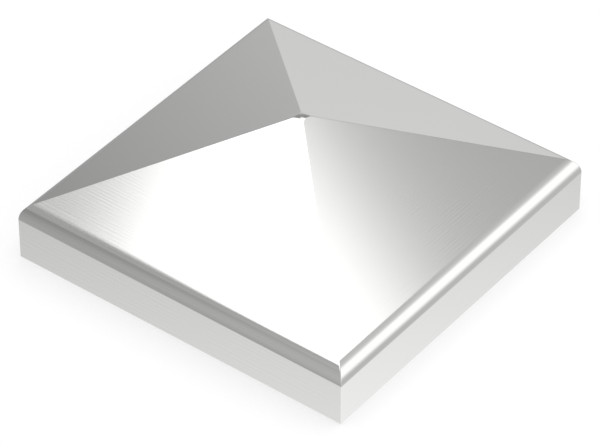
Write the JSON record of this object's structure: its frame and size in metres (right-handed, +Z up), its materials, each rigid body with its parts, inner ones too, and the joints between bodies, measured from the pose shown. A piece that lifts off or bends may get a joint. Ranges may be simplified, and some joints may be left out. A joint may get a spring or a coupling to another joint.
{
  "type": "pyramid post cap",
  "caption": "Square brushed stainless steel post cap with a pyramid roof, rounded eaves and a short skirt that slides over the end of a newel post.",
  "frame": {"origin": "centre of the rim, in the plane that the cap rests on", "axes": "+Z up through the top of the roof, X and Y square to the four sides"},
  "size_m": [0.104, 0.104, 0.0391],
  "materials": {
    "brushed_sheet": "brushed along each eave"
  },
  "bodies": {
    "root": {"pyramid_cap": "brushed_sheet"}
  },
  "joints": []
}
